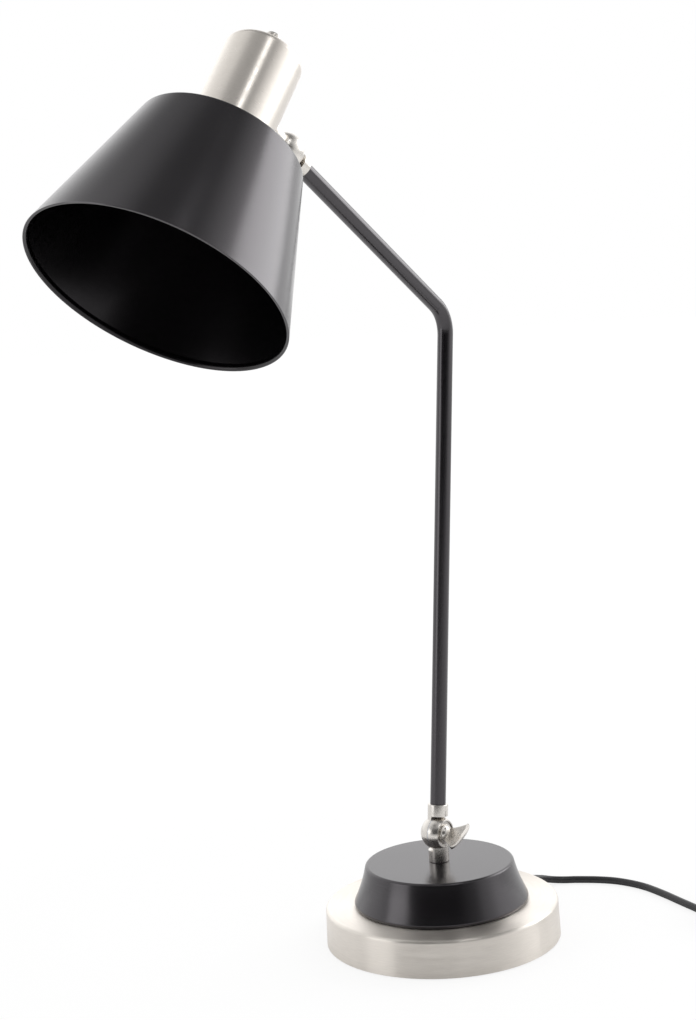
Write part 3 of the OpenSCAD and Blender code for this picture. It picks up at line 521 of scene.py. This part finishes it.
def bare_metal(name, dark, light, rough):
    m = Mat(name).set(Metallic=1.0)
    cells = m.noise(m.coords, 700, 4)
    cloud = m.noise(m.coords, 45, 3)
    m.link(m.mix(m.span(cloud, 0.0, 1.0), dark, light), "Base Color")
    m.link(m.span(cells, rough - 0.05, rough + 0.06), "Roughness")
    m.link(m.bump(cells, 0.00001), "Normal")
    return m.mat


def assign(mat, *names):
    """Gives a material to CAD nodes."""
    for name in names:
        for s in nodes[name].material_slots:
            s.link = "DATA"
            s.material = mat


# ---------------------------------------------------------------- surroundings

def make_floor():
    """A plain pale floor that shows white to the camera and keeps the lamp's shadow."""
    mesh = bpy.data.meshes.new("floor")
    half = 40.0
    corners = [(x * half, y * half, 0) for x, y in ((-1, -1), (1, -1), (1, 1), (-1, 1))]
    mesh.from_pydata(corners, [], [(0, 1, 2, 3)])
    floor = bpy.data.objects.new("floor", mesh)
    scene.collection.objects.link(floor)
    mat = bpy.data.materials.new("floor")
    mat.use_nodes = True
    tree = mat.node_tree
    tree.nodes.clear()
    out = tree.nodes.new("ShaderNodeOutputMaterial")
    mix = tree.nodes.new("ShaderNodeMixShader")
    diffuse = tree.nodes.new("ShaderNodeBsdfDiffuse")
    glow = tree.nodes.new("ShaderNodeEmission")
    path = tree.nodes.new("ShaderNodeLightPath")
    coords = tree.nodes.new("ShaderNodeTexCoord")
    away = tree.nodes.new("ShaderNodeVectorMath")
    away.operation = "LENGTH"
    far = tree.nodes.new("ShaderNodeMapRange")
    far.inputs["From Min"].default_value, far.inputs["From Max"].default_value = 0.3, 0.9
    far.inputs["To Min"].default_value, far.inputs["To Max"].default_value = 0.8, 1.0
    part = tree.nodes.new("ShaderNodeMath")
    part.operation = "MULTIPLY"
    tree.links.new(coords.outputs["Object"], away.inputs[0])
    tree.links.new(away.outputs["Value"], far.inputs["Value"])
    tree.links.new(far.outputs["Result"], part.inputs[1])
    diffuse.inputs["Color"].default_value = (0.9, 0.9, 0.9, 1)
    glow.inputs["Color"].default_value = (1, 1, 1, 1)
    glow.inputs["Strength"].default_value = 1.03
    tree.links.new(path.outputs["Is Camera Ray"], part.inputs[0])
    tree.links.new(part.outputs[0], mix.inputs[0])
    tree.links.new(diffuse.outputs[0], mix.inputs[1])
    tree.links.new(glow.outputs[0], mix.inputs[2])
    tree.links.new(mix.outputs[0], out.inputs[0])
    mesh.materials.append(mat)


def make_world():
    """A white room for the camera, a flat light for matt things and a banded one for mirrors."""
    world = bpy.data.worlds.new("studio")
    scene.world = world
    world.use_nodes = True
    tree = world.node_tree
    tree.nodes.clear()

    def node(kind, op=None, **inputs):
        n = tree.nodes.new(kind)
        if op:
            n.operation = op
        for key, value in inputs.items():
            s = n.inputs[int(key[1:])]
            if isinstance(value, bpy.types.NodeSocket):
                tree.links.new(value, s)
            else:
                s.default_value = value
        return n

    def ramp(value, stops):
        n = tree.nodes.new("ShaderNodeValToRGB")
        tree.links.new(value, n.inputs[0])
        n.color_ramp.interpolation = "EASE"
        while len(n.color_ramp.elements) < len(stops):
            n.color_ramp.elements.new(0.5)
        for element, (place, grey) in zip(n.color_ramp.elements, sorted(stops)):
            element.position = place
            element.color = (grey, grey, grey, 1)
        return n.outputs[0]

    coords = tree.nodes.new("ShaderNodeTexCoord")
    turned = node("ShaderNodeVectorRotate", i0=coords.outputs["Generated"], i3=-FRONT)
    turned.rotation_type = "Z_AXIS"
    parts = node("ShaderNodeSeparateXYZ", i0=turned.outputs[0])
    x, y, z = parts.outputs
    # 0.5 faces the camera, 0 and 1 lie behind the lamp, more than 0.5 is the picture's right
    forward = node("ShaderNodeMath", "MULTIPLY", i0=y, i1=-1.0).outputs[0]
    angle = node("ShaderNodeMath", "ARCTAN2", i0=x, i1=forward).outputs[0]
    share = node("ShaderNodeMath", "MULTIPLY_ADD", i0=angle, i1=1 / (2 * math.pi), i2=0.5).outputs[0]

    def stops(*pairs):
        return [(0.5 + a / 360, g) for a, g in pairs]

    low = ramp(share, stops(
        (-180, 1.4), (-145, 1.25), (-105, 0.95), (-62, 0.42), (-38, 0.06), (-20, 0.02),
        (22, 0.02), (46, 0.18), (68, 0.7), (90, 1.25), (140, 1.2), (180, 1.4)))
    high = ramp(share, stops(
        (-180, 0.3), (-148, 0.32), (-128, 0.9), (-108, 0.85), (-78, 0.75), (-40, 0.42),
        (15, 0.4), (55, 0.42), (95, 0.14), (130, 0.2), (180, 0.3)))
    level = node("ShaderNodeMapRange", i0=z, i1=0.5, i2=0.85).outputs[0]
    glossy = tree.nodes.new("ShaderNodeMix")
    glossy.data_type = "RGBA"
    tree.links.new(level, glossy.inputs["Factor"])
    tree.links.new(low, glossy.inputs["A"])
    tree.links.new(high, glossy.inputs["B"])
    path = tree.nodes.new("ShaderNodeLightPath")
    seen = node("ShaderNodeBackground", i0=(1, 1, 1, 1), i1=1.0)
    mirrored = node("ShaderNodeBackground", i0=glossy.outputs["Result"], i1=1.0)
    ambient = node("ShaderNodeBackground", i0=(1, 1, 1, 1), i1=0.85)
    first = node("ShaderNodeMixShader", i0=path.outputs["Is Glossy Ray"], i1=ambient.outputs[0],
                 i2=mirrored.outputs[0])
    clear = node("ShaderNodeMath", "MAXIMUM", i0=path.outputs["Is Camera Ray"],
                 i1=path.outputs["Is Transmission Ray"])
    last = node("ShaderNodeMixShader", i0=clear.outputs[0], i1=first.outputs[0], i2=seen.outputs[0])
    out = tree.nodes.new("ShaderNodeOutputWorld")
    tree.links.new(last.outputs[0], out.inputs[0])


LAMP_MIDDLE, LIGHT_DISTANCE = Vector((0, -0.08, 0.3)), 1.6


def toward(angle, height):
    """A direction, by its angle to the right of the camera's bearing and its height in degrees."""
    a, h = FRONT + math.radians(angle), math.radians(height)
    return Vector((math.sin(a) * math.cos(h), -math.cos(a) * math.cos(h), math.sin(h)))


def soft_light(name, angle, height, width, tall, radiance, along=None):
    """A softbox seen from the middle of the lamp in that direction, its sizes in metres."""
    data = bpy.data.lights.new(name, "AREA")
    data.shape = "RECTANGLE"
    data.size, data.size_y = width, tall
    data.energy = radiance * math.pi * width * tall
    obj = bpy.data.objects.new(name, data)
    scene.collection.objects.link(obj)
    back = toward(angle, height)
    side = along - along.dot(back) * back if along else Vector((0, 0, 1)).cross(back)
    side.normalize()
    basis = Matrix((side, back.cross(side), back)).transposed().to_4x4()
    obj.matrix_world = Matrix.Translation(LAMP_MIDDLE + LIGHT_DISTANCE * back) @ basis
    obj.visible_camera = False


def make_lights():
    soft_light("right_box", 119, 25, 1.0, 0.85, 2.1)
    soft_light("left_box", -64, 8, 0.85, 0.8, 1.3)
    soft_light("strip", 37, 54, 0.2, 1.0, 2.3, along=toward(55, 42) - toward(12, 65))


# ---------------------------------------------------------------- scene

make_camera()

path = cord_path()
lead = tube_curve("mains_cord", path, CORD_R)
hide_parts("cord", "cord_coil", "cord_tail")
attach(lead, "base")

sheath = moulded("cord_sheath", (0.017, 0.017, 0.019), 0.36, 900, 0.000012)
lead.data.materials.append(sheath)

assign(black_paint("satin_black_paint"), "dome_cover", "arm_tube")
# the shade's inside is painted darker, with a weaker reflection: painted shade in its hollow
make_shade(black_paint("satin_black_paint_shade", painted_shade_inside=True))
assign(brushed_nickel("brushed_nickel_base", (0, 0, 0), 0, 0.34, 0.95), "base_cover")
assign(brushed_nickel("brushed_nickel_cup", HEAD_AT, HEAD_TILT, 0.3, 0.6), "cup")
bright = satin_nickel("polished_nickel")
assign(bright, "saddle_washer", "switch_knob", "switch_nut")
zinc = bare_metal("zinc_steel", (0.55, 0.56, 0.58), (0.68, 0.69, 0.71), 0.34)
assign(zinc, "centre_rod", "rod_washer", "rod_nut", "side_nipple", "side_nut", "holder_bracket",
       "holder_nipple", "holder_nut")
make_swivels(bright, zinc)
assign(bare_metal("contact_brass", (0.62, 0.44, 0.18), (0.78, 0.60, 0.30), 0.26), "holder_shell",
       "centre_contact", "plug_pins")
assign(moulded("cast_weight", (0.05, 0.05, 0.055), 0.7, 500, 0.0002), "base_weight")
assign(moulded("pad_foam", (0.02, 0.02, 0.02), 0.85, 1500, 0.00012), "base_pad")
assign(sheath, "base_lead", "arm_flex")
assign(moulded("relief_rubber", (0.016, 0.016, 0.017), 0.5, 1300, 0.00003), "cord_relief")
assign(moulded("tie_plastic", (0.02, 0.02, 0.02), 0.5, 1600, 0.00003), "cord_tie")
assign(moulded("plug_plastic", (0.015, 0.015, 0.016), 0.42, 1200, 0.00004), "plug_body")
assign(moulded("holder_plastic", (0.012, 0.012, 0.013), 0.24, 300, 0.00001), "holder_body",
       "shade_ring", "switch_body")
assign(moulded("holder_ceramic", (0.72, 0.70, 0.64), 0.22, 350, 0.00002), "holder_core")

make_floor()
make_world()
make_lights()
scene.view_settings.view_transform = "Standard"

bpy.context.view_layer.update()
